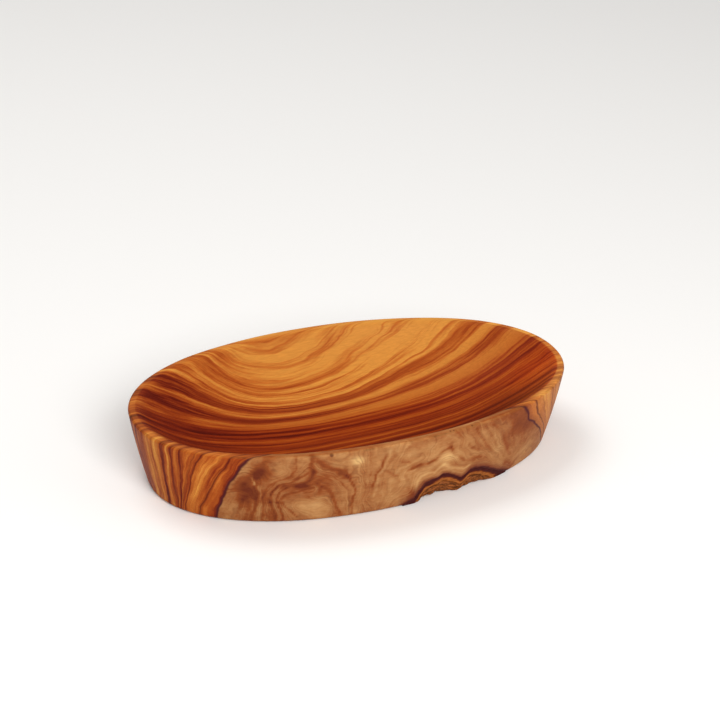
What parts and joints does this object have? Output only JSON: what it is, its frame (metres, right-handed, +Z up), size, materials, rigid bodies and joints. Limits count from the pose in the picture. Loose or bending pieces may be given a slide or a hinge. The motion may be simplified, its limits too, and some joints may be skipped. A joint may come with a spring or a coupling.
{
  "type": "oval bowl",
  "caption": "Low oval serving bowl carved from a solid olive-wood billet, with a rounded hollow, a flat lip and natural bark along the lower front edge.",
  "frame": {"origin": "under the middle of the bowl, on the plane that it stands on", "axes": "+Z up, +X along the bowl's length, -Y the front, which holds the bark edge"},
  "size_m": [0.15, 0.088, 0.026],
  "materials": {
    "olive_wood": "sanded and oiled to a satin sheen, with dark heartwood stripes and paler sapwood",
    "bark": "rough natural bark, oiled over"
  },
  "bodies": {
    "root": {"bowl_body": "olive_wood", "bark_edge": "bark"}
  },
  "joints": []
}
